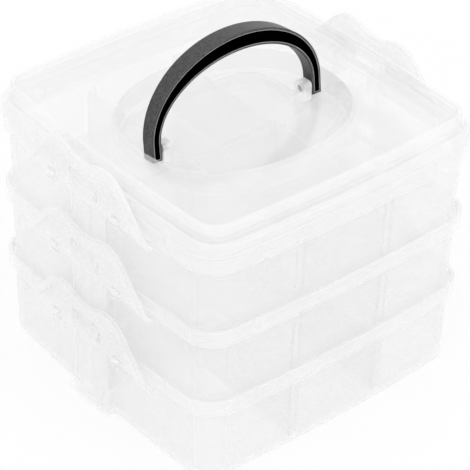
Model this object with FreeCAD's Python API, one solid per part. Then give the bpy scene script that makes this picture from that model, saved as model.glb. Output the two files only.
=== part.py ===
import FreeCAD, Part
import math
import os

from FreeCAD import Vector

# Three-tier stacking box with a folding handle.
# Millimetres, +Z up, origin at the centre of the bottom face.
# X runs from latch side to latch side, the handle stands in the XZ plane.

# Outline of the box over its collars
BOX_X = 156.0
BOX_Y = 156.0
SIDE_BOW = 3.0
CORNER_R = 15.5

# Tiers
TIER_NAMES = ("bottom", "middle", "top")
PITCH = 37.0
NEST = 7.0
COLLAR_UNDER = 1.0
COLLAR_T = 1.5
COLLAR_ROUND = 1.2
WALL_T = 1.8
FLOOR_T = 1.6
BASE_INSET = 3.5
WALL_INSET = 2.8
BASE_ROUND = 0.6
SEAT_GAP = 0.3

# Ribs inside a collar that centre the next tier
LOCATOR_W = 1.4
LOCATOR_AT = 48.0
LOCATOR_GAP = 0.5

# Partitions
CROSS_WALL_T = 1.6
CROSS_WALL_DROP = 3.2
DIVIDER_T = 1.4
DIVIDER_DROP = 4.0
DIVIDER_AT = 24.4
GROOVE_PLAY = 0.2
GROOVE_RIB_W = 2.1
GROOVE_RIB_D = 2.3
DIVIDER_ROUND = 0.5

# Pilasters and catches on the two latch sides
PILASTER_HALF = 12.0
PILASTER_OUT = 1.0
PILASTER_T = 1.6
PILASTER_ROUND = 1.0
PILASTER_ROOT = 5.0
NOTCH_PLAY = 0.6
CATCH_SIDE = 2.7
CATCH_OUT = 4.0
CATCH_LOW = 5.0
CATCH_NOSE_LOW = 6.2
CATCH_NOSE_HIGH = 7.2
CATCH_HIGH = 12.5

# Latches
LATCH_T = 1.6
LATCH_GAP = 0.4
LATCH_RIM_W = 3.6
LATCH_RIM_OUT = 1.2
LATCH_RIM_LAP = 0.8
HINGE_OVER_SEAT = 1.0
HINGE_ROD_R = 1.2
HINGE_PLAY = 0.08
LUG_WALL = 1.22
LUG_AT = 22.0
LUG_W = 4.0
LUG_SNAP = 0.5
LUG_SIDE_PLAY = 0.8
LUG_TOP_PLAY = 0.9
WINDOW_SIDE_PLAY = 0.7
WINDOW_LOW_PLAY = 1.5
WINDOW_HIGH_PLAY = 0.1
WINDOW_ROUND = 1.2
# Right half of the latch's wavy edge: distance from the middle, height over the hinge
LATCH_EDGE = (
    (46.0, 0.0),
    (41.2, 1.8),
    (37.2, 5.8),
    (32.6, 10.8),
    (27.6, 16.4),
    (22.4, 20.6),
    (15.5, 22.3),
    (8.0, 20.4),
    (0.0, 19.0),
)

# Lid
LID_SHEET = 1.5
SKIRT_T = 1.5
LID_RISE = 20.0
SHOULDER_RISE = 13.4
SHOULDER_R = 2.6
PLATFORM_LOW_INSET = 2.8
PLATFORM_INSET = 4.2
PLATFORM_ROUND = 0.7
BORDER_W = 1.9
DECK_DROP = 6.0
LID_PILASTER_DROP = 0.2
RECESS_BESIDE_HANDLE = 5.2
RECESS_PAST_HANDLE = 3.0
RECESS_SQUARENESS = 2.3
OVAL_POINTS = 48
RECESS_DRAFT = 1.0
RECESS_DEPTH = 10.4
RECESS_ROUND = 1.2

# Handle, in its own upright plane from the pivot
PIVOT_DROP = 4.7
HANDLE_LEAN = 6.5
HANDLE_SPAN = 47.0
HANDLE_TOP = 40.6
HANDLE_SPRING = 4.3
HANDLE_LEG = 5.0
HANDLE_CROWN = 8.1
HANDLE_FOOT_GAP = 0.54
HANDLE_HALF_FOOT = 3.4
HANDLE_HALF_SHIN = 3.4
HANDLE_HALF_SHOULDER = 4.24
HANDLE_HALF_TOP = 5.0
HANDLE_SHIN_RISE = 11.05
HANDLE_SHOULDER_DROP = 11.8
HANDLE_WALL = 1.2
HANDLE_WEB = 1.5
HANDLE_ROUND = 0.45
PIN_R = 1.75
PIN_PLAY = 0.08
PIN_LENGTH = 4.2
EAR_T = 4.4
EAR_WALL = 1.57
EAR_GAP = 0.6
EAR_WEB = 0.6
EAR_ROUND = 2.0

# Values worked out from the sizes above
HALF_X = BOX_X / 2
HALF_Y = BOX_Y / 2
TRAY_H = PITCH + NEST
LID_BASE = PITCH * len(TIER_NAMES)
PILASTER_X = HALF_X + PILASTER_OUT
CATCH_HALF = PILASTER_HALF - CATCH_SIDE
HINGE_X = PILASTER_X + LATCH_GAP + LATCH_T / 2
HINGE_RISE = PITCH + HINGE_OVER_SEAT
LUG_R = HINGE_ROD_R + HINGE_PLAY + LUG_WALL
LID_SEAT = LID_BASE + NEST + SEAT_GAP
LID_TOP = LID_BASE + LID_RISE
DECK_TOP = LID_TOP - DECK_DROP
PIVOT_Z = DECK_TOP - PIVOT_DROP
FOOT_REACH = RECESS_DEPTH - PIVOT_DROP - HANDLE_FOOT_GAP
HANDLE_FOOT = math.sqrt(FOOT_REACH ** 2 - HANDLE_HALF_FOOT ** 2)
RECESS_X = HANDLE_SPAN + RECESS_BESIDE_HANDLE
RECESS_Y = HANDLE_TOP + RECESS_PAST_HANDLE
EAR_R = PIN_R + PIN_PLAY + EAR_WALL
FAR = HALF_X + HALF_Y
UP = Vector(0, 0, 1)
AXIS_X = Vector(1, 0, 0)
AXIS_Y = Vector(0, 1, 0)


def box(x0, x1, y0, y1, z0, z1):
    """Upright block between two corners."""
    return Part.makeBox(x1 - x0, y1 - y0, z1 - z0, Vector(x0, y0, z0))


def merged(first, *others):
    """One clean solid from overlapping ones."""
    return first.fuse(list(others)).removeSplitter()


def turned(shape, angle, centre=Vector(0, 0, 0), axis=UP):
    """Copy of a shape turned about an axis."""
    copy = shape.copy()
    copy.rotate(centre, axis, angle)
    return copy


def on_both_ends(shape):
    """The shape and its copy half a turn round the box."""
    return [shape, turned(shape, 180)]


def bow_circle(half_out, half_along):
    """Radius and centre offset of the arc that bows one side outward."""
    radius = (half_along ** 2 + SIDE_BOW ** 2) / (2 * SIDE_BOW)
    return radius, half_out - radius


BOW_X_R, BOW_X_C = bow_circle(HALF_X, HALF_Y)
BOW_Y_R, BOW_Y_C = bow_circle(HALF_Y, HALF_X)


def corner_centre():
    """Centre of the corner arc that is tangent to both bowed sides."""
    reach_x = BOW_X_R - CORNER_R
    reach_y = BOW_Y_R - CORNER_R
    apart = math.hypot(BOW_X_C, BOW_Y_C)
    along = (reach_x ** 2 - reach_y ** 2 + apart ** 2) / (2 * apart)
    off = math.sqrt(reach_x ** 2 - along ** 2)
    step_x = -BOW_X_C / apart
    step_y = BOW_Y_C / apart
    return (BOW_X_C + along * step_x - off * step_y,
            along * step_y + off * step_x)


CORNER_X, CORNER_Y = corner_centre()


def arc(centre_x, centre_y, radius, start, end, z):
    """Level arc about a centre, from a start angle to an end angle in radians."""
    circle = Part.Circle(Vector(centre_x, centre_y, z), UP, radius)
    return Part.Arc(circle, start, end).toShape()


def outline(inset, z):
    """Closed outline of the box, moved inward by inset, as eight tangent arcs."""
    side = math.atan2(CORNER_Y, CORNER_X - BOW_X_C)
    back = math.atan2(CORNER_Y - BOW_Y_C, CORNER_X)
    half = math.pi
    full = 2 * math.pi
    rx = BOW_X_R - inset
    ry = BOW_Y_R - inset
    rc = CORNER_R - inset
    return Part.Wire([
        arc(BOW_X_C, 0, rx, -side, side, z),
        arc(CORNER_X, CORNER_Y, rc, side, back, z),
        arc(0, BOW_Y_C, ry, back, half - back, z),
        arc(-CORNER_X, CORNER_Y, rc, half - back, half - side, z),
        arc(-BOW_X_C, 0, rx, half - side, half + side, z),
        arc(-CORNER_X, -CORNER_Y, rc, half + side, half + back, z),
        arc(0, -BOW_Y_C, ry, half + back, full - back, z),
        arc(CORNER_X, -CORNER_Y, rc, full - back, full - side, z),
    ])


def slab(inset, z0, z1):
    """Straight block inside the outline."""
    return Part.Face(outline(inset, z0)).extrude(UP * (z1 - z0))


def drafted(inset0, z0, inset1, z1):
    """Tapered block between two insets of the outline."""
    return Part.makeLoft([outline(inset0, z0), outline(inset1, z1)], True, True)


def edges_at(shape, z):
    """Edges that lie whole at one height."""
    return [e for e in shape.Edges
            if abs(e.BoundBox.ZMin - z) < 1e-4 and abs(e.BoundBox.ZMax - z) < 1e-4]


def pilaster(z0, z1, shrink):
    """Block of one pilaster, or of its hollow when shrunk by the wall."""
    half = PILASTER_HALF - shrink
    root = HALF_X - BASE_INSET - WALL_T - PILASTER_ROOT
    out = PILASTER_X - shrink
    block = box(root, out, -half, half, z0, z1)
    rounding = max(PILASTER_ROUND - shrink, 0)
    if rounding > 0:
        fronts = [e for e in block.Edges
                  if abs(e.BoundBox.XMin - out) < 1e-6 and e.BoundBox.ZLength > z1 - z0 - 1e-6]
        block = block.makeFillet(rounding, fronts)
    return block


def catch(base_z):
    """Wedge that the latch's window closes over."""
    root = PILASTER_X - PILASTER_T / 2
    nose = PILASTER_X + CATCH_OUT
    profile = [
        Vector(root, -CATCH_HALF, base_z + CATCH_LOW),
        Vector(PILASTER_X, -CATCH_HALF, base_z + CATCH_LOW),
        Vector(nose, -CATCH_HALF, base_z + CATCH_NOSE_LOW),
        Vector(nose, -CATCH_HALF, base_z + CATCH_NOSE_HIGH),
        Vector(PILASTER_X, -CATCH_HALF, base_z + CATCH_HIGH),
        Vector(root, -CATCH_HALF, base_z + CATCH_HIGH),
    ]
    face = Part.Face(Part.makePolygon(profile + [profile[0]]))
    return face.extrude(AXIS_Y * (2 * CATCH_HALF))


def lug(side, hinge_z):
    """Open clip on the collar that holds one end of a latch's rod."""
    y0 = side * LUG_AT - LUG_W / 2
    y1 = y0 + LUG_W
    ring = Part.makeCylinder(LUG_R, LUG_W, Vector(HINGE_X, y0, hinge_z), AXIS_Y)
    web = box(HALF_X - COLLAR_T, HINGE_X, y0, y1, hinge_z - LUG_R, hinge_z + LUG_R)
    return ring.fuse(web)


def lug_bore(side, hinge_z):
    """Bore and open mouth of one clip."""
    y0 = side * LUG_AT - LUG_W / 2
    y1 = y0 + LUG_W
    bore_r = HINGE_ROD_R + HINGE_PLAY
    bore = Part.makeCylinder(bore_r, LUG_W, Vector(HINGE_X, y0, hinge_z), AXIS_Y)
    half_mouth = HINGE_ROD_R - LUG_SNAP / 2
    mouth = box(HINGE_X, HINGE_X + 2 * LUG_R, y0, y1,
                hinge_z - half_mouth, hinge_z + half_mouth)
    return bore.fuse(mouth)


def groove_ribs(base_z, shell):
    """Pairs of ribs that hold the four dividers, on the end walls and the cross wall."""
    inner = DIVIDER_T / 2 + GROOVE_PLAY
    wall_y = HALF_Y - WALL_INSET - WALL_T - GROOVE_RIB_D
    cross_y = CROSS_WALL_T / 2
    z0 = base_z + FLOOR_T / 2
    z1 = base_z + PITCH - CROSS_WALL_DROP
    ribs = []
    for at in (-DIVIDER_AT, DIVIDER_AT):
        for x0 in (at - inner - GROOVE_RIB_W, at + inner):
            x1 = x0 + GROOVE_RIB_W
            ribs.append(box(x0, x1, -cross_y - GROOVE_RIB_D, cross_y + GROOVE_RIB_D, z0, z1))
            for turn in (0, 180):
                rib = turned(box(x0, x1, wall_y, FAR, z0, z1), turn)
                ribs.append(rib.common(shell))
    return ribs


def collar_locators(base_z):
    """Small ribs inside the collar that centre the tier above."""
    z0 = base_z + PITCH - SEAT_GAP
    z1 = base_z + TRAY_H - 1
    ring = slab(COLLAR_T / 2, z0, z1).cut(slab(BASE_INSET - LOCATOR_GAP, z0, z1))
    ribs = []
    for at in (-LOCATOR_AT, LOCATOR_AT):
        for bar in (box(at - LOCATOR_W / 2, at + LOCATOR_W / 2, -FAR, FAR, z0, z1),
                    box(-FAR, FAR, at - LOCATOR_W / 2, at + LOCATOR_W / 2, z0, z1)):
            ribs += ring.common(bar).Solids
    return ribs


def tray(base_z):
    """One tier: floor, walls, collar, cross wall, grooves, pilasters, catches and lugs."""
    ledge = base_z + PITCH - SEAT_GAP
    collar_low = base_z + PITCH - COLLAR_UNDER
    top = base_z + TRAY_H
    floor = base_z + FLOOR_T
    hinge_z = base_z + HINGE_RISE

    body = drafted(BASE_INSET, base_z, WALL_INSET, collar_low + COLLAR_ROUND)
    shell = body.copy()
    collar = slab(0, collar_low, top)
    collar = collar.makeFillet(COLLAR_ROUND, edges_at(collar, collar_low))
    collar = collar.makeFillet(COLLAR_T / 3, edges_at(collar, top))
    body = body.fuse([collar] + on_both_ends(pilaster(base_z, ledge, 0)))
    body = body.removeSplitter()
    body = body.makeFillet(BASE_ROUND, edges_at(body, base_z))

    hollow = drafted(BASE_INSET + WALL_T, floor, WALL_INSET + WALL_T, ledge + 1)
    hollow = hollow.fuse(on_both_ends(pilaster(floor, top + 1, PILASTER_T)))
    body = body.cut(hollow)
    body = body.cut(slab(COLLAR_T, ledge, top + 1))
    notch_half = PILASTER_HALF + NOTCH_PLAY
    notch = box(HALF_X - CORNER_R, FAR, -notch_half, notch_half, ledge, top + 1)
    body = body.cut(on_both_ends(notch))

    cross_x = HALF_X + PILASTER_OUT - PILASTER_T / 2
    cross = box(-cross_x, cross_x, -CROSS_WALL_T / 2, CROSS_WALL_T / 2,
                base_z + FLOOR_T / 2, base_z + PITCH - CROSS_WALL_DROP)
    added = [cross] + groove_ribs(base_z, shell) + collar_locators(base_z)
    added += on_both_ends(catch(base_z))
    for side in (-1, 1):
        added += on_both_ends(lug(side, hinge_z))
    body = body.fuse(added).removeSplitter()
    for side in (-1, 1):
        body = body.cut(on_both_ends(lug_bore(side, hinge_z)))
    return body


def divider(base_z, at, row):
    """Loose panel in one pair of grooves. Row is 1 behind the cross wall, -1 before it."""
    near = CROSS_WALL_T / 2 + GROOVE_PLAY
    far = HALF_Y - BASE_INSET - WALL_T - SIDE_BOW * (DIVIDER_AT / HALF_X) ** 2 - GROOVE_PLAY
    y0, y1 = sorted((row * near, row * far))
    z0 = base_z + FLOOR_T + GROOVE_PLAY
    z1 = base_z + PITCH - DIVIDER_DROP
    panel = box(at - DIVIDER_T / 2, at + DIVIDER_T / 2, y0, y1, z0, z1)
    tops = [e for e in edges_at(panel, z1) if e.BoundBox.YLength > 1]
    return panel.makeFillet(DIVIDER_ROUND, tops)


def latch_curve():
    """Wavy edge of the latch in the YZ plane, from foot to foot, over a hinge at zero."""
    right = [Vector(0, y, z) for y, z in LATCH_EDGE]
    left = [Vector(0, -y, z) for y, z in reversed(LATCH_EDGE[:-1])]
    curve = Part.BSplineCurve()
    curve.interpolate(right + left)
    return curve


def inner_curve(curve, distance, count=33):
    """The same edge moved inward, square to itself."""
    first, last = curve.FirstParameter, curve.LastParameter
    points = []
    for i in range(count):
        at = first + (last - first) * i / (count - 1)
        along = curve.tangent(at)[0]
        inward = Vector(0, -along.z, along.y)
        points.append(curve.value(at) + inward * distance)
    inner = Part.BSplineCurve()
    inner.interpolate(points)
    return inner


def above_hinge(wire, x0, x1):
    """Plate between two X positions with a given outline, kept only above the hinge's axis."""
    plate = Part.Face(wire).extrude(AXIS_X * (x1 - x0))
    plate.translate(Vector(x0, 0, 0))
    return plate.common(box(0, 2 * FAR, -FAR, FAR, 0, FAR))


def latch(base_z):
    """Hinged flap with a window for the catch, whose wavy rim steps outward from its plate."""
    inner_x = PILASTER_X + LATCH_GAP
    middle_x = inner_x + LATCH_T / 2
    outer_x = inner_x + LATCH_T
    rim_x = outer_x + LATCH_RIM_OUT
    edge = latch_curve()
    start, end = edge.value(edge.FirstParameter), edge.value(edge.LastParameter)

    top = inner_curve(edge, LATCH_RIM_W - LATCH_RIM_LAP)
    top_start, top_end = top.value(top.FirstParameter), top.value(top.LastParameter)
    plate_wire = Part.Wire([top.toShape(), Part.makeLine(top_end, top_start)])
    plate = above_hinge(plate_wire, inner_x, outer_x)

    low = inner_curve(edge, LATCH_RIM_W)
    low_start, low_end = low.value(low.FirstParameter), low.value(low.LastParameter)
    rim_wire = Part.Wire([edge.toShape(), Part.makeLine(end, low_end),
                          low.toShape(), Part.makeLine(low_start, start)])
    rim = above_hinge(rim_wire, middle_x, rim_x)

    foot = LATCH_EDGE[0][0]
    heel = Part.makeCylinder(LATCH_T / 2, 2 * foot, Vector(HINGE_X, -foot, 0), AXIS_Y)
    flap = plate.fuse([rim, heel])

    half = CATCH_HALF + WINDOW_SIDE_PLAY
    low = CATCH_LOW - HINGE_OVER_SEAT - WINDOW_LOW_PLAY
    high = CATCH_HIGH - HINGE_OVER_SEAT + WINDOW_HIGH_PLAY
    window = box(inner_x - 1, FAR, -half, half, low, high)
    corners = [e for e in window.Edges if e.BoundBox.XLength > LATCH_T]
    flap = flap.cut(window.makeFillet(WINDOW_ROUND, corners))
    gap_half = LUG_W / 2 + LUG_SIDE_PLAY
    rods = []
    for side in (-1, 1):
        y0 = side * LUG_AT - gap_half
        y1 = side * LUG_AT + gap_half
        flap = flap.cut(box(inner_x - 1, rim_x + 1, y0, y1, -LUG_R, LUG_R + LUG_TOP_PLAY))
        rods.append(Part.makeCylinder(HINGE_ROD_R, 2 * gap_half + 1,
                                      Vector(HINGE_X, y0 - 0.5, 0), AXIS_Y))
    flap = flap.fuse(rods)
    flap.translate(Vector(0, 0, base_z + HINGE_RISE))
    return flap


def signed_power(value, power):
    """Power of a number's size, with its sign kept."""
    return math.copysign(abs(value) ** power, value)


def oval_slab(half_x, half_y, z0, z1, low_inset):
    """Block with a squared-off elliptic outline that narrows by low_inset toward its bottom."""
    power = 2 / RECESS_SQUARENESS
    rings = []
    for inset, z in ((low_inset, z0), (0, z1)):
        points = []
        for i in range(OVAL_POINTS):
            turn = 2 * math.pi * i / OVAL_POINTS
            points.append(Vector((half_x - inset) * signed_power(math.cos(turn), power),
                                 (half_y - inset) * signed_power(math.sin(turn), power), z))
        curve = Part.BSplineCurve()
        curve.interpolate(Points=points, PeriodicFlag=True)
        rings.append(Part.Wire([curve.toShape()]))
    return Part.makeLoft(rings, True, True)


def ear():
    """Upright ear on the recess floor, with a blind bore for one pin of the handle."""
    x1 = HANDLE_SPAN - HANDLE_LEG - EAR_GAP
    x0 = x1 - EAR_T
    floor = DECK_TOP - RECESS_DEPTH - LID_SHEET / 2
    top = PIVOT_Z + EAR_R
    plate = box(x0, x1, -EAR_R, EAR_R, floor, top)
    return plate.makeFillet(EAR_ROUND, [e for e in edges_at(plate, top) if e.BoundBox.XLength > 1])


def lid():
    """Lid with a plug that nests in the top collar, a stacking border and the handle recess."""
    shoulder_z = LID_BASE + SHOULDER_RISE
    crown = slab(0, LID_SEAT, shoulder_z)
    crown = crown.makeFillet(SHOULDER_R, edges_at(crown, shoulder_z))
    platform = drafted(PLATFORM_LOW_INSET, shoulder_z - SHOULDER_R / 4, PLATFORM_INSET, LID_TOP)
    platform = platform.makeFillet(PLATFORM_ROUND, edges_at(platform, LID_TOP))
    crown = crown.fuse(platform)
    crown = crown.cut(slab(PLATFORM_INSET + BORDER_W, DECK_TOP, LID_TOP + 1))

    plug_in = BASE_INSET + LID_SHEET
    deck_low = DECK_TOP - LID_SHEET
    crown = crown.cut(slab(plug_in, LID_SEAT - 1, deck_low))
    channel = slab(SKIRT_T, LID_SEAT - 1, deck_low).cut(slab(BASE_INSET, LID_SEAT - 1, deck_low))
    crown = crown.cut(channel)

    plug = slab(BASE_INSET, LID_BASE, deck_low + LID_SHEET / 2)
    plug = plug.cut(slab(plug_in, LID_BASE - 1, deck_low + LID_SHEET))
    pilaster_top = shoulder_z - LID_PILASTER_DROP
    outer = on_both_ends(pilaster(LID_BASE, pilaster_top, 0))
    body = crown.fuse([plug] + outer).removeSplitter()
    hollow = pilaster(LID_BASE - 1, pilaster_top - PILASTER_T, PILASTER_T)
    body = body.cut(on_both_ends(hollow))

    low = DECK_TOP - RECESS_DEPTH
    tub = oval_slab(RECESS_X + LID_SHEET, RECESS_Y + LID_SHEET, low - LID_SHEET,
                    DECK_TOP - LID_SHEET / 2, RECESS_DRAFT)
    bowl = oval_slab(RECESS_X, RECESS_Y, low, DECK_TOP, RECESS_DRAFT)
    bowl = bowl.makeFillet(RECESS_ROUND, edges_at(bowl, low))
    body = body.fuse(tub).cut(bowl)
    body = body.fuse(on_both_ends(ear()) + on_both_ends(catch(LID_BASE))).removeSplitter()
    bore_x = HANDLE_SPAN - HANDLE_LEG - EAR_GAP - EAR_T + EAR_WEB
    bore = Part.makeCylinder(PIN_R + PIN_PLAY, EAR_T, Vector(bore_x, 0, PIVOT_Z), AXIS_X)
    return body.cut(on_both_ends(bore))


def arch(shrink, foot):
    """Face of the handle's arch in the XZ plane, thinned by shrink on its curved edges."""
    loops = []
    rises = (HANDLE_TOP - HANDLE_SPRING, HANDLE_TOP - HANDLE_CROWN - HANDLE_SPRING)
    spans = (HANDLE_SPAN, HANDLE_SPAN - HANDLE_LEG)
    for span, rise, sign in zip(spans, rises, (-1, 1)):
        half_x = span + sign * shrink
        half_z = rise + sign * shrink
        major, minor = Vector(half_x, 0, HANDLE_SPRING), Vector(0, 0, HANDLE_SPRING + half_z)
        ellipse = Part.Ellipse(major, minor, Vector(0, 0, HANDLE_SPRING))
        top = Part.Arc(ellipse, 0, math.pi)
        ends = [top.value(0), top.value(math.pi)]
        feet = [Vector(p.x, 0, -foot) for p in ends]
        loops.append((top.toShape(), ends, feet))
    (outer, outer_ends, outer_feet), (inner, inner_ends, inner_feet) = loops
    edges = [outer, inner]
    for i in (0, 1):
        edges.append(Part.makeLine(outer_ends[i], outer_feet[i]))
        edges.append(Part.makeLine(inner_ends[i], inner_feet[i]))
        edges.append(Part.makeLine(outer_feet[i], inner_feet[i]))
    return Part.Face(Part.Wire(Part.__sortEdges__(edges)))


def waist(back_shift, front):
    """Prism along X that narrows the arch toward its feet; front None keeps both flanks."""
    heights = (-HANDLE_FOOT - 1, HANDLE_SHIN_RISE, HANDLE_TOP - HANDLE_SHOULDER_DROP, HANDLE_TOP + 1)
    widths = (HANDLE_HALF_FOOT, HANDLE_HALF_SHIN, HANDLE_HALF_SHOULDER, HANDLE_HALF_TOP)
    back = [Vector(-FAR, w + back_shift, h) for w, h in zip(widths, heights)]
    if front is None:
        fore = [Vector(-FAR, -w, h) for w, h in zip(widths, heights)]
    else:
        fore = [Vector(-FAR, front, h) for h in heights]
    rails = []
    for points in (back, fore):
        rail = Part.BSplineCurve()
        rail.interpolate(points)
        rails.append(rail.toShape())
    ends = [Part.makeLine(back[0], fore[0]), Part.makeLine(back[-1], fore[-1])]
    face = Part.Face(Part.Wire(Part.__sortEdges__(rails + ends)))
    return face.extrude(AXIS_X * (2 * FAR))


def handle():
    """Arched channel, open to the front, with a pin on the inside of each foot."""
    width = AXIS_Y * (2 * FAR)
    body = arch(0, HANDLE_FOOT).extrude(width)
    body.translate(width * -0.5)
    body = body.common(waist(0, None))
    rounding = [e for e in body.Edges if e.BoundBox.XLength > HANDLE_SPAN or e.BoundBox.YLength < 1]
    body = body.makeFillet(HANDLE_ROUND, rounding)
    channel = arch(HANDLE_WALL, HANDLE_FOOT - HANDLE_WALL).extrude(width)
    channel.translate(width * -0.5)
    channel = channel.common(waist(-HANDLE_WEB, -FAR / 2))
    body = body.cut(channel)
    inner_x = HANDLE_SPAN - HANDLE_LEG
    pin = Part.makeCylinder(PIN_R, PIN_LENGTH + HANDLE_WALL / 2,
                            Vector(inner_x - PIN_LENGTH, 0, 0), AXIS_X)
    body = merged(body, *on_both_ends(pin))
    body = turned(body, -HANDLE_LEAN, axis=AXIS_X)
    body.translate(Vector(0, 0, PIVOT_Z))
    return body


def save(name, shape):
    """Write one node, after a check that it is closed and valid."""
    solids = shape.Solids
    if len(solids) != 1 or not shape.isValid():
        raise ValueError("%s: %d solids, valid %s" % (name, len(solids), shape.isValid()))
    solids[0].exportStep("parts/%s.step" % name)
    print("%-30s volume %9.1f mm3" % (name, solids[0].Volume))


def main():
    os.makedirs("parts", exist_ok=True)
    for level, tier in enumerate(TIER_NAMES):
        base_z = PITCH * level
        save(tier + "_tray", tray(base_z))
        for row, row_name in ((-1, "front"), (1, "back")):
            for side, side_name in ((-1, "left"), (1, "right")):
                panel = divider(base_z, side * DIVIDER_AT, row)
                save("%s_divider_%s_%s" % (tier, row_name, side_name), panel)
        right, left = on_both_ends(latch(base_z))
        save(tier + "_latch_right", right)
        save(tier + "_latch_left", left)
    save("lid", lid())
    save("carry_handle", handle())


main()
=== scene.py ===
"""Looks of a tiered storage box with a folding carry handle.

Three nesting trays of milky plastic, each with six compartments and two hinged latches, stand under a lid
with a sunk recess and a black arched handle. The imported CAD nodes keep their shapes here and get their
finishes, and a pale studio with soft light is built round them.
"""

import sys

import logging
import math
from dataclasses import dataclass
from enum import Enum

import bpy
import numpy as np
from mathutils import Matrix, Vector


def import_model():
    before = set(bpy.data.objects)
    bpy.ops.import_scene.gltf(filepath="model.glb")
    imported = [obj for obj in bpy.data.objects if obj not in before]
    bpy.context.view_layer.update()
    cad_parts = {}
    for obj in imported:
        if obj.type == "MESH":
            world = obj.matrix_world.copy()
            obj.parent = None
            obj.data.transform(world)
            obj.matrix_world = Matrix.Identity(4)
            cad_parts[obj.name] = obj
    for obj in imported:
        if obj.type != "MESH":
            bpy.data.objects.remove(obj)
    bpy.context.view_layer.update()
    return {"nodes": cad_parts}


LOG = logging.getLogger("storage_box")
Colour = tuple[float, float, float]
Point = tuple[float, float, float]

# Noise textures rarely leave this range.
NOISE_LOW = 0.3
NOISE_HIGH = 0.7

# The Layer Weight node's Facing output is plain at this blend.
PLAIN_BLEND = 0.5

# How well the rounded normal matches the true one where the edge mark begins, and where it is full.
EDGE_BEGINS = 0.985
EDGE_FULL = 0.9

# How much open sky a place sees where the shelter mark begins, and where it is full.
SHELTER_BEGINS = 0.88
SHELTER_FULL = 0.62

MARK_SAMPLES = 8
USUAL_GLOSS = 0.5

# Features to a metre and finer octaves of the slow patterns that every finish of a kind shares.
FLOW_SCALE = 38.0
FLOW_DETAIL = 3.0
WAVE_SCALE = 55.0
WAVE_DETAIL = 1.0
MILKY_GRAIN_DETAIL = 2.0
RUB_SCALE = 90.0
RUB_DETAIL = 4.0
BLACK_GRAIN_DETAIL = 3.0

# How late milkiness, tint and gloss grow with the slant, and the gloss of a face seen square on.
MILK_POWER = 4.0
TINT_POWER = 3.0
GLOSS_POWER = 4.6
GLOSS_HEAD_ON = 0.04
PLASTIC_IOR = 1.5

WHITE = (1.0, 1.0, 1.0, 1.0)
SENSOR_WIDTH = 36.0
CLIP_START = 0.05
CLIP_END = 50.0

# Sight and light pass many thin walls before they leave the box.
TRANSPARENT_BOUNCES = 96
ALL_BOUNCES = 24
DIFFUSE_BOUNCES = 20
GLOSSY_BOUNCES = 6


class Tier(Enum):
    """The three trays, from the table up."""

    BOTTOM = "bottom"
    MIDDLE = "middle"
    TOP = "top"


class Side(Enum):
    """The two sides that carry latches."""

    LEFT = "left"
    RIGHT = "right"


class Row(Enum):
    """The two rows of compartments in a tray."""

    FRONT = "front"
    BACK = "back"


@dataclass(frozen=True)
class Ears:
    """The two thick ears on the lid's recess floor, mirrored about the middle.

    Attributes:
        centre: the middle of the right ear, in metres.
        half: half the ear's size along each axis.
        pin_height: the height of the handle's pins.
        bore_radius: the radius within which only a thin web closes the ear.
        milkiness: how much of what is behind it one face of the thick plastic hides.
    """

    centre: Point = (0.0392, 0.0, 0.1193)
    half: Point = (0.0023, 0.0035, 0.0045)
    pin_height: float = 0.1203
    bore_radius: float = 0.0019
    milkiness: float = 0.58


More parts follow.
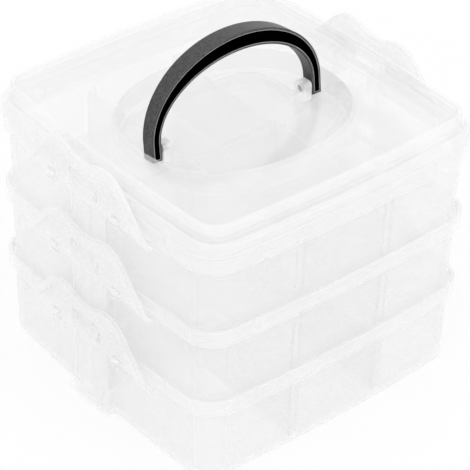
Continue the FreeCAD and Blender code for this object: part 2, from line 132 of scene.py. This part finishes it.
class Sockets:
    """Short ways to place and join the nodes of one material or world."""

    def __init__(self, owner: bpy.types.Material | bpy.types.World) -> None:
        """Empties the owner's node tree.

        Args:
            owner: the material or world whose nodes are to be built.
        """
        owner.use_nodes = True
        self.tree = owner.node_tree
        self.tree.nodes.clear()

    def node(self, kind: str, **settings: object) -> bpy.types.Node:
        """Adds one node.

        Args:
            kind: Blender's name for the node type.
            settings: attributes to set on the node itself.

        Returns:
            The new node.
        """
        made = self.tree.nodes.new(kind)
        for name, value in settings.items():
            setattr(made, name, value)
        return made

    def join(self, out: bpy.types.NodeSocket, into: bpy.types.NodeSocket) -> None:
        """Links one socket to another."""
        self.tree.links.new(out, into)

    def noise(self, scale: float, detail: float, seed: Point) -> bpy.types.Node:
        """Adds a noise texture on object coordinates.

        Args:
            scale: how many features there are to a metre.
            detail: how many finer octaves are added.
            seed: where in the noise this finish starts, so that no two finishes match.

        Returns:
            The noise node.
        """
        place = self.node("ShaderNodeTexCoord")
        shift = self.node("ShaderNodeMapping")
        shift.inputs["Location"].default_value = seed
        texture = self.node("ShaderNodeTexNoise")
        texture.inputs["Scale"].default_value = scale
        texture.inputs["Detail"].default_value = detail
        self.join(place.outputs["Object"], shift.inputs["Vector"])
        self.join(shift.outputs["Vector"], texture.inputs["Vector"])
        return texture

    def span(self, value: bpy.types.NodeSocket, low: float, high: float) -> bpy.types.NodeSocket:
        """Spreads a noise value of about 0.3 to 0.7 over a range.

        Args:
            value: the noise socket.
            low: what 0.3 becomes.
            high: what 0.7 becomes.

        Returns:
            The socket with the spread value.
        """
        spread = self.node("ShaderNodeMapRange")
        spread.inputs["From Min"].default_value = NOISE_LOW
        spread.inputs["From Max"].default_value = NOISE_HIGH
        spread.inputs["To Min"].default_value = low
        spread.inputs["To Max"].default_value = high
        self.join(value, spread.inputs["Value"])
        return spread.outputs["Result"]

    def blend(self, value: bpy.types.NodeSocket, low: Colour, high: Colour) -> bpy.types.NodeSocket:
        """Blends two colours by a noise value of about 0.3 to 0.7.

        Args:
            value: the noise socket.
            low: the colour at 0.3.
            high: the colour at 0.7.

        Returns:
            The socket with the blended colour.
        """
        ramp = self.node("ShaderNodeValToRGB")
        ramp.color_ramp.elements[0].position = NOISE_LOW
        ramp.color_ramp.elements[0].color = (*low, 1.0)
        ramp.color_ramp.elements[1].position = NOISE_HIGH
        ramp.color_ramp.elements[1].color = (*high, 1.0)
        self.join(value, ramp.inputs["Fac"])
        return ramp.outputs["Color"]

    def two_colours(self, share: bpy.types.NodeSocket, low: Colour, high: Colour) -> bpy.types.NodeSocket:
        """Mixes two colours.

        Args:
            share: the socket with the second colour's share, 0 to 1.
            low: the colour at 0.
            high: the colour at 1.

        Returns:
            The socket with the mixed colour.
        """
        mix = self.node("ShaderNodeMix", data_type="RGBA")
        mix.inputs["A"].default_value = (*low, 1.0)
        mix.inputs["B"].default_value = (*high, 1.0)
        self.join(share, mix.inputs["Factor"])
        return mix.outputs["Result"]

    def slanted(self, head_on: float, edge_on: float, power: float) -> bpy.types.NodeSocket:
        """Works out a share that grows with the slant at which a face is seen.

        Args:
            head_on: the share when a face is seen square on.
            edge_on: the share when it is seen along its own plane.
            power: how late the share grows; Schlick's rule for a mirror is 5.

        Returns:
            The socket with the share.
        """
        slant = self.node("ShaderNodeLayerWeight")
        slant.inputs["Blend"].default_value = PLAIN_BLEND
        steep = self.node("ShaderNodeMath", operation="POWER")
        steep.inputs[1].default_value = power
        share = self.node("ShaderNodeMath", operation="MULTIPLY_ADD")
        share.inputs[1].default_value = edge_on - head_on
        share.inputs[2].default_value = head_on
        self.join(slant.outputs["Facing"], steep.inputs[0])
        self.join(steep.outputs["Value"], share.inputs[0])
        return share.outputs["Value"]

    def over(
        self, share: bpy.types.NodeSocket, under: bpy.types.NodeSocket, top: Colour
    ) -> bpy.types.NodeSocket:
        """Lays a colour over another one.

        Args:
            share: the socket with the top colour's share, 0 to 1.
            under: the socket with the colour below.
            top: the colour on top.

        Returns:
            The socket with the mixed colour.
        """
        mix = self.node("ShaderNodeMix", data_type="RGBA")
        mix.inputs["B"].default_value = (*top, 1.0)
        self.join(share, mix.inputs["Factor"])
        self.join(under, mix.inputs["A"])
        return mix.outputs["Result"]

    def near_edges(self, reach: float) -> bpy.types.NodeSocket:
        """Marks the faces near sharp edges: there the rounded normal turns away from the true one.

        Args:
            reach: how far from an edge the mark begins, in metres.

        Returns:
            The socket with the mark, 0 to 1.
        """
        rounded = self.node("ShaderNodeBevel", samples=MARK_SAMPLES)
        rounded.inputs["Radius"].default_value = reach
        true = self.node("ShaderNodeNewGeometry")
        match = self.node("ShaderNodeVectorMath", operation="DOT_PRODUCT")
        mark = self.node("ShaderNodeMapRange")
        mark.inputs["From Min"].default_value = EDGE_BEGINS
        mark.inputs["From Max"].default_value = EDGE_FULL
        self.join(rounded.outputs["Normal"], match.inputs[0])
        self.join(true.outputs["Normal"], match.inputs[1])
        self.join(match.outputs["Value"], mark.inputs["Value"])
        return mark.outputs["Result"]

    def sheltered(self, reach: float) -> bpy.types.NodeSocket:
        """Marks the places that the piece itself shuts off from light.

        Args:
            reach: how far off the sheltering walls may stand, in metres.

        Returns:
            The socket with the mark, 0 in the open and 1 deep inside.
        """
        open_sky = self.node("ShaderNodeAmbientOcclusion", samples=MARK_SAMPLES, only_local=True)
        open_sky.inputs["Distance"].default_value = reach
        mark = self.node("ShaderNodeMapRange")
        mark.inputs["From Min"].default_value = SHELTER_BEGINS
        mark.inputs["From Max"].default_value = SHELTER_FULL
        self.join(open_sky.outputs["AO"], mark.inputs["Value"])
        return mark.outputs["Result"]

    def rest_of(self, share: bpy.types.NodeSocket) -> bpy.types.NodeSocket:
        """Works out the gloss level that is left: usual in the open, none where the share is full.

        Args:
            share: the socket with the share that takes gloss away, 0 to 1.

        Returns:
            The socket with the gloss level.
        """
        rest = self.node("ShaderNodeMath", operation="MULTIPLY_ADD")
        rest.inputs[1].default_value = -USUAL_GLOSS
        rest.inputs[2].default_value = USUAL_GLOSS
        self.join(share, rest.inputs[0])
        return rest.outputs["Value"]

    def in_ears(self, ears: Ears) -> bpy.types.NodeSocket:
        """Marks the two ears: the absolute coordinates lie in one block, outside the bore's round end.

        Args:
            ears: where the ears are.

        Returns:
            The socket with the mark, 1 in the solid ears and 0 elsewhere.
        """
        place = self.node("ShaderNodeTexCoord")
        mirrored = self.node("ShaderNodeVectorMath", operation="ABSOLUTE")
        offset = self.node("ShaderNodeVectorMath", operation="SUBTRACT")
        offset.inputs[1].default_value = ears.centre
        reach = self.node("ShaderNodeVectorMath", operation="ABSOLUTE")
        beyond = self.node("ShaderNodeVectorMath", operation="SUBTRACT")
        beyond.inputs[1].default_value = ears.half
        parts = self.node("ShaderNodeSeparateXYZ")
        wide = self.node("ShaderNodeMath", operation="MAXIMUM")
        worst = self.node("ShaderNodeMath", operation="MAXIMUM")
        inside = self.node("ShaderNodeMath", operation="LESS_THAN")
        inside.inputs[1].default_value = 0.0
        flat = self.node("ShaderNodeVectorMath", operation="MULTIPLY")
        flat.inputs[1].default_value = (0.0, 1.0, 1.0)
        radius = self.node("ShaderNodeVectorMath", operation="DISTANCE")
        radius.inputs[1].default_value = (0.0, 0.0, ears.pin_height)
        off_bore = self.node("ShaderNodeMath", operation="GREATER_THAN")
        off_bore.inputs[1].default_value = ears.bore_radius
        both = self.node("ShaderNodeMath", operation="MULTIPLY")
        self.join(place.outputs["Object"], mirrored.inputs[0])
        self.join(mirrored.outputs["Vector"], offset.inputs[0])
        self.join(offset.outputs["Vector"], reach.inputs[0])
        self.join(reach.outputs["Vector"], beyond.inputs[0])
        self.join(beyond.outputs["Vector"], parts.inputs["Vector"])
        self.join(parts.outputs["X"], wide.inputs[0])
        self.join(parts.outputs["Y"], wide.inputs[1])
        self.join(wide.outputs["Value"], worst.inputs[0])
        self.join(parts.outputs["Z"], worst.inputs[1])
        self.join(worst.outputs["Value"], inside.inputs[0])
        self.join(place.outputs["Object"], flat.inputs[0])
        self.join(flat.outputs["Vector"], radius.inputs[0])
        self.join(radius.outputs["Value"], off_bore.inputs[0])
        self.join(inside.outputs["Value"], both.inputs[0])
        self.join(off_bore.outputs["Value"], both.inputs[1])
        return both.outputs["Value"]

    def larger(
        self, first: bpy.types.NodeSocket, second: bpy.types.NodeSocket, scale: float
    ) -> bpy.types.NodeSocket:
        """Takes the larger of one share and another one that is scaled first.

        Args:
            first: the socket with the first share.
            second: the socket with the second share.
            scale: what the second share is multiplied by.

        Returns:
            The socket with the larger share.
        """
        scaled = self.node("ShaderNodeMath", operation="MULTIPLY")
        scaled.inputs[1].default_value = scale
        most = self.node("ShaderNodeMath", operation="MAXIMUM")
        self.join(second, scaled.inputs[0])
        self.join(first, most.inputs[0])
        self.join(scaled.outputs["Value"], most.inputs[1])
        return most.outputs["Value"]

    def bump(
        self, height: bpy.types.NodeSocket, depth: float, onto: bpy.types.Node | None
    ) -> bpy.types.Node:
        """Adds a bump of a given depth.

        Args:
            height: the socket with the height, 0 to 1.
            depth: how deep the full height is, in metres.
            onto: a bump that this one lies on, if any.

        Returns:
            The bump node.
        """
        relief = self.node("ShaderNodeBump")
        relief.inputs["Strength"].default_value = 1.0
        relief.inputs["Distance"].default_value = depth
        self.join(height, relief.inputs["Height"])
        if onto is not None:
            self.join(onto.outputs["Normal"], relief.inputs["Normal"])
        return relief


@dataclass(frozen=True)
class MilkyPlastic:
    """Translucent polypropylene: how milky, how smooth and how mottled it is.

    Attributes:
        name: the material's name.
        pale: the colour where the plastic is thickest and whitest.
        deep: the colour in the faint flow marks.
        milkiness: how much of what is behind one face it hides head-on, 0 to 1.
        edge_milkiness: the same where a face is seen edge-on and sight runs far through the plastic.
        tint: what a face lets through of each colour, where it isn't milky.
        edge_tint: the same where a face is seen edge-on, which draws rims and folds darker.
        smooth: the lowest roughness, on the polished spots.
        matt: the highest roughness, in the mould's grain.
        grain: the grain's features to a metre.
        grain_depth: the grain's depth in metres.
        wave_depth: the depth of the slow waves that a moulded sheet has, in metres.
        seed: where in the noise this plastic starts.
        ears: the thick ears on this piece, if it has them.
    """

    name: str
    pale: Colour
    deep: Colour
    milkiness: float
    edge_milkiness: float
    tint: Colour
    edge_tint: Colour
    smooth: float
    matt: float
    grain: float
    grain_depth: float
    wave_depth: float
    seed: Point
    ears: Ears | None = None

    def material(self) -> bpy.types.Material:
        """Builds the material.

        Returns:
            The finished material.
        """
        made = bpy.data.materials.new(self.name)
        lab = Sockets(made)
        flow = lab.noise(FLOW_SCALE, FLOW_DETAIL, self.seed)
        specks = lab.noise(self.grain, MILKY_GRAIN_DETAIL, self.seed)
        waves = lab.noise(WAVE_SCALE, WAVE_DETAIL, self.seed)
        swell = lab.bump(waves.outputs["Fac"], self.wave_depth, None)
        relief = lab.bump(specks.outputs["Fac"], self.grain_depth, swell)
        clear = lab.node("ShaderNodeBsdfTransparent")
        cloud = lab.node("ShaderNodeBsdfDiffuse")
        gloss = lab.node("ShaderNodeBsdfAnisotropic")
        body = lab.node("ShaderNodeMixShader")
        skin = lab.node("ShaderNodeMixShader")
        end = lab.node("ShaderNodeOutputMaterial")
        lab.join(lab.blend(flow.outputs["Fac"], self.deep, self.pale), cloud.inputs["Color"])
        lab.join(lab.span(specks.outputs["Fac"], self.smooth, self.matt), gloss.inputs["Roughness"])
        lab.join(relief.outputs["Normal"], gloss.inputs["Normal"])
        gloss.inputs["Color"].default_value = WHITE
        milk = lab.slanted(self.milkiness, self.edge_milkiness, MILK_POWER)
        if self.ears is not None:
            milk = lab.larger(milk, lab.in_ears(self.ears), self.ears.milkiness)
        lab.join(milk, body.inputs["Fac"])
        passing = lab.two_colours(lab.slanted(0.0, 1.0, TINT_POWER), self.tint, self.edge_tint)
        lab.join(passing, clear.inputs["Color"])
        lab.join(clear.outputs["BSDF"], body.inputs[1])
        lab.join(cloud.outputs["BSDF"], body.inputs[2])
        lab.join(lab.slanted(GLOSS_HEAD_ON, 1.0, GLOSS_POWER), skin.inputs["Fac"])
        lab.join(body.outputs["Shader"], skin.inputs[1])
        lab.join(gloss.outputs["BSDF"], skin.inputs[2])
        lab.join(skin.outputs["Shader"], end.inputs["Surface"])
        return made


@dataclass(frozen=True)
class BlackPlastic:
    """The handle's black moulded plastic with a satin gloss.

    Attributes:
        name: the material's name.
        black: the colour of the body of the plastic.
        worn: the slightly greyer colour of patches worn by handling.
        speck: the colour of the grain's bright specks.
        edge: the colour of the painted highlight along the edges, standing in for the lamps' glints on the
            rounded lips.
        hollow: the colour deep inside the channel, where hardly any light comes.
        edge_width: how far the painted edge highlight reaches from an edge, in metres.
        shelter: how far apart walls may stand and still shade each other, in metres.
        smooth: the lowest roughness.
        matt: the highest roughness.
        grain: the grain's features to a metre.
        grain_depth: the grain's depth in metres.
        seed: where in the noise this plastic starts.
    """

    name: str
    black: Colour
    worn: Colour
    speck: Colour
    edge: Colour
    hollow: Colour
    edge_width: float
    shelter: float
    smooth: float
    matt: float
    grain: float
    grain_depth: float
    seed: Point

    def material(self) -> bpy.types.Material:
        """Builds the material.

        Returns:
            The finished material.
        """
        made = bpy.data.materials.new(self.name)
        lab = Sockets(made)
        shader = lab.node("ShaderNodeBsdfPrincipled")
        end = lab.node("ShaderNodeOutputMaterial")
        rub = lab.noise(RUB_SCALE, RUB_DETAIL, self.seed)
        specks = lab.noise(self.grain, BLACK_GRAIN_DETAIL, self.seed)
        body = lab.blend(rub.outputs["Fac"], self.black, self.worn)
        grained = lab.over(lab.span(specks.outputs["Fac"], 0.0, 1.0), body, self.speck)
        # Painted highlight: faces near sharp edges get a light grey in place of the lamps' glints on the
        # rounded lips.
        painted_edge_highlight = lab.over(lab.near_edges(self.edge_width), grained, self.edge)
        shade = lab.sheltered(self.shelter)
        lab.join(lab.over(shade, painted_edge_highlight, self.hollow), shader.inputs["Base Color"])
        lab.join(lab.rest_of(shade), shader.inputs["Specular IOR Level"])
        lab.join(lab.span(rub.outputs["Fac"], self.smooth, self.matt), shader.inputs["Roughness"])
        relief = lab.bump(specks.outputs["Fac"], self.grain_depth, None)
        lab.join(relief.outputs["Normal"], shader.inputs["Normal"])
        shader.inputs["IOR"].default_value = PLASTIC_IOR
        lab.join(shader.outputs["BSDF"], end.inputs["Surface"])
        return made


def wear(node: bpy.types.Object, finish: bpy.types.Material) -> None:
    """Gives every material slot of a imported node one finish.

    Args:
        node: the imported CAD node.
        finish: the material it gets.
    """
    if not node.material_slots:
        node.data.materials.append(finish)
    for slot in node.material_slots:
        slot.material = finish
    LOG.info("%s wears %s", node.name, finish.name)


@dataclass
class Tray:
    """One tray with its four dividers and its two latches.

    Attributes:
        tier: which of the three trays it is.
        milky: the finish of the tray and its dividers.
        clear: the finish of its latches.
    """

    tier: Tier
    milky: bpy.types.Material
    clear: bpy.types.Material

    def dress(self, nodes: dict[str, bpy.types.Object]) -> None:
        """Finishes the tray, its dividers and its latches.

        Args:
            nodes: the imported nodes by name.
        """
        wear(nodes[f"{self.tier.value}_tray"], self.milky)
        for row in Row:
            for side in Side:
                wear(nodes[f"{self.tier.value}_divider_{row.value}_{side.value}"], self.milky)
        for side in Side:
            wear(nodes[f"{self.tier.value}_latch_{side.value}"], self.clear)


@dataclass
class Lid:
    """The lid with its recess and stacking border.

    Attributes:
        glossy: the finish of the lid.
    """

    glossy: bpy.types.Material

    def dress(self, nodes: dict[str, bpy.types.Object]) -> None:
        """Finishes the lid.

        Args:
            nodes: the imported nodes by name.
        """
        wear(nodes["lid"], self.glossy)


@dataclass
class CarryHandle:
    """The black arched handle.

    Attributes:
        black: the finish of the handle.
    """

    black: bpy.types.Material

    def dress(self, nodes: dict[str, bpy.types.Object]) -> None:
        """Finishes the handle.

        Args:
            nodes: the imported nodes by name.
        """
        wear(nodes["carry_handle"], self.black)


@dataclass(frozen=True)
class SoftLamp:
    """One large soft lamp that looks at the box.

    Attributes:
        name: the lamp's name.
        place: where it hangs, in metres.
        width: its square side in metres.
        watts: its power.
    """

    name: str
    place: Point
    width: float
    watts: float

    def hang(self, target: Vector) -> bpy.types.Object:
        """Hangs the lamp and turns it to the box.

        Args:
            target: the point that it looks at.

        Returns:
            The lamp's object.
        """
        light = bpy.data.lights.new(self.name, "AREA")
        light.shape = "SQUARE"
        light.size = self.width
        light.energy = self.watts
        lamp = bpy.data.objects.new(self.name, light)
        lamp.location = self.place
        lamp.rotation_euler = (target - Vector(self.place)).to_track_quat("-Z", "Y").to_euler()
        bpy.context.scene.collection.objects.link(lamp)
        return lamp


@dataclass
class Studio:
    """A pale floor, a white surround, soft lamps and the camera.

    Attributes:
        surround: the strength of the surround's light on the box.
        floor_colour: the floor's own grey.
        floor_glow: how much of the floor the camera sees as plain white.
        floor_half: half the floor's side in metres.
        floor_low: how far the floor lies under the box, in metres.
        lens: the camera's focal length in mm on a 36 mm sensor.
        azimuth: the camera's turn round the box in degrees, 0 from the front.
        elevation: the camera's height above the horizon in degrees.
        roll: the camera's roll in degrees.
        distance: from the camera to the point it looks at, in metres.
        aim: the point that it looks at.
        shift: how far the frame lies off the lens's axis, in frame widths.
        lamps: the lamps.
    """

    surround: float = 0.93
    floor_colour: float = 0.95
    floor_glow: float = 0.75
    floor_half: float = 6.0
    floor_low: float = 0.0004
    lens: float = 160.377
    azimuth: float = -40.4025
    elevation: float = 36.2128
    roll: float = 1.56099
    distance: float = 0.929882
    aim: Point = (-0.006793, -0.005565, 0.061355)
    shift: tuple[float, float] = (0.015976, 0.007788)
    lamps: tuple[SoftLamp, ...] = (
        SoftLamp(name="overhead_softbox", place=(-0.25, -0.15, 1.5), width=1.3, watts=2.4),
        SoftLamp(name="left_softbox", place=(-1.5, -0.5, 0.9), width=1.0, watts=1.8),
        SoftLamp(name="front_softbox", place=(0.6, -1.5, 0.8), width=1.0, watts=2.2),
    )

    def build(self) -> None:
        """Builds the studio round the box."""
        self.light_surround()
        self.lay_floor()
        for lamp in self.lamps:
            lamp.hang(Vector(self.aim))
            LOG.info("%s hangs at %s", lamp.name, lamp.place)
        self.set_camera()
        self.set_picture()

    def light_surround(self) -> None:
        """Makes the world white to sight and in reflections, and a little darker as a light."""
        world = bpy.data.worlds.new("surround")
        lab = Sockets(world)
        path = lab.node("ShaderNodeLightPath")
        seen = lab.node("ShaderNodeMath", operation="MAXIMUM")
        through = lab.node("ShaderNodeMath", operation="MAXIMUM")
        lit = lab.node("ShaderNodeBackground")
        lit.inputs["Color"].default_value = WHITE
        lit.inputs["Strength"].default_value = self.surround
        white = lab.node("ShaderNodeBackground")
        white.inputs["Color"].default_value = WHITE
        white.inputs["Strength"].default_value = 1.0
        either = lab.node("ShaderNodeMixShader")
        end = lab.node("ShaderNodeOutputWorld")
        lab.join(path.outputs["Is Camera Ray"], seen.inputs[0])
        lab.join(path.outputs["Is Glossy Ray"], seen.inputs[1])
        lab.join(seen.outputs["Value"], through.inputs[0])
        lab.join(path.outputs["Is Transmission Ray"], through.inputs[1])
        lab.join(through.outputs["Value"], either.inputs["Fac"])
        lab.join(lit.outputs["Background"], either.inputs[1])
        lab.join(white.outputs["Background"], either.inputs[2])
        lab.join(either.outputs["Shader"], end.inputs["Surface"])
        bpy.context.scene.world = world

    def lay_floor(self) -> None:
        """Lays the floor: a square whose corners are plus and minus half its side in X and Y."""
        corner = np.array([[-1.0, -1.0, 0.0], [1.0, -1.0, 0.0], [1.0, 1.0, 0.0], [-1.0, 1.0, 0.0]])
        points = corner * self.floor_half - np.array([0.0, 0.0, self.floor_low])
        mesh = bpy.data.meshes.new("floor")
        mesh.from_pydata(points.tolist(), [], [(0, 1, 2, 3)])
        floor = bpy.data.objects.new("floor", mesh)
        bpy.context.scene.collection.objects.link(floor)
        paper = bpy.data.materials.new("floor_paper")
        lab = Sockets(paper)
        path = lab.node("ShaderNodeLightPath")
        share = lab.node("ShaderNodeMath", operation="MULTIPLY")
        share.inputs[1].default_value = self.floor_glow
        matt = lab.node("ShaderNodeBsdfDiffuse")
        matt.inputs["Color"].default_value = (self.floor_colour,) * 3 + (1.0,)
        glow = lab.node("ShaderNodeEmission")
        glow.inputs["Strength"].default_value = 1.0
        both = lab.node("ShaderNodeMixShader")
        end = lab.node("ShaderNodeOutputMaterial")
        lab.join(path.outputs["Is Camera Ray"], share.inputs[0])
        lab.join(share.outputs["Value"], both.inputs["Fac"])
        lab.join(matt.outputs["BSDF"], both.inputs[1])
        lab.join(glow.outputs["Emission"], both.inputs[2])
        lab.join(both.outputs["Shader"], end.inputs["Surface"])
        mesh.materials.append(paper)
        LOG.info("the floor is %.1f m wide", 2 * self.floor_half)

    def set_camera(self) -> None:
        """Sets the camera: out from its aim along azimuth and elevation, then rolled about its own axis."""
        turn, rise, lean = (math.radians(a) for a in (self.azimuth, self.elevation, self.roll))
        back = Vector((math.sin(turn) * math.cos(rise), -math.cos(turn) * math.cos(rise), math.sin(rise)))
        level = Vector((0.0, 0.0, 1.0)).cross(back).normalized()
        upright = back.cross(level)
        right = math.cos(lean) * level + math.sin(lean) * upright
        up = math.cos(lean) * upright - math.sin(lean) * level
        data = bpy.data.cameras.new("camera")
        data.sensor_width = SENSOR_WIDTH
        data.lens = self.lens
        data.shift_x, data.shift_y = self.shift
        data.clip_start = CLIP_START
        data.clip_end = CLIP_END
        camera = bpy.data.objects.new("camera", data)
        facing = Matrix((right, up, back)).transposed().to_4x4()
        camera.matrix_world = Matrix.Translation(Vector(self.aim) + back * self.distance) @ facing
        bpy.context.scene.collection.objects.link(camera)
        bpy.context.scene.camera = camera

    def set_picture(self) -> None:
        """Sets the plain view transform and lets rays pass the many thin walls."""
        scene = bpy.context.scene
        scene.view_settings.view_transform = "Standard"
        scene.cycles.transparent_max_bounces = TRANSPARENT_BOUNCES
        scene.cycles.max_bounces = ALL_BOUNCES
        scene.cycles.diffuse_bounces = DIFFUSE_BOUNCES
        scene.cycles.glossy_bounces = GLOSSY_BOUNCES


TRAY_MILK = MilkyPlastic(
    name="tray_milky_plastic",
    pale=(1.0, 1.0, 1.0),
    deep=(0.997, 0.997, 0.997),
    milkiness=0.2,
    edge_milkiness=0.5,
    tint=(0.999, 0.999, 0.999),
    edge_tint=(0.93, 0.93, 0.93),
    smooth=0.2,
    matt=0.42,
    grain=2600.0,
    grain_depth=0.000003,
    wave_depth=0.00006,
    seed=(1.3, 0.4, 2.2),
)
LATCH_MILK = MilkyPlastic(
    name="latch_clear_plastic",
    pale=(1.0, 1.0, 1.0),
    deep=(0.997, 0.997, 0.997),
    milkiness=0.32,
    edge_milkiness=0.5,
    tint=(0.975, 0.975, 0.975),
    edge_tint=(0.85, 0.85, 0.85),
    smooth=0.16,
    matt=0.34,
    grain=2600.0,
    grain_depth=0.000002,
    wave_depth=0.00005,
    seed=(4.1, 2.7, 0.6),
)
LID_MILK = MilkyPlastic(
    name="lid_glossy_plastic",
    pale=(1.0, 1.0, 1.0),
    deep=(0.997, 0.997, 0.997),
    milkiness=0.2,
    edge_milkiness=0.5,
    tint=(0.999, 0.999, 0.999),
    edge_tint=(0.93, 0.93, 0.93),
    smooth=0.1,
    matt=0.22,
    grain=2200.0,
    grain_depth=0.000001,
    wave_depth=0.00002,
    seed=(0.7, 5.2, 3.9),
    ears=Ears(),
)
HANDLE_BLACK = BlackPlastic(
    name="handle_black_plastic",
    black=(0.003, 0.003, 0.0033),
    worn=(0.009, 0.009, 0.0095),
    speck=(0.065, 0.065, 0.066),
    # The light grey of the painted highlight along the handle's edges.
    edge=(0.4, 0.4, 0.403),
    hollow=(0.001, 0.001, 0.001),
    edge_width=0.0008,
    shelter=0.009,
    smooth=0.33,
    matt=0.46,
    grain=1100.0,
    grain_depth=0.00003,
    seed=(2.9, 1.1, 0.3),
)


def main() -> None:
    """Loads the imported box, dresses its parts and builds the studio."""
    logging.basicConfig(level=logging.INFO, format="%(message)s", stream=sys.stdout)
    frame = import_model()
    nodes = frame["nodes"]
    milky = TRAY_MILK.material()
    clear = LATCH_MILK.material()
    for tier in Tier:
        Tray(tier, milky, clear).dress(nodes)
    Lid(LID_MILK.material()).dress(nodes)
    CarryHandle(HANDLE_BLACK.material()).dress(nodes)
    Studio().build()


if __name__ == "__main__":
    main()
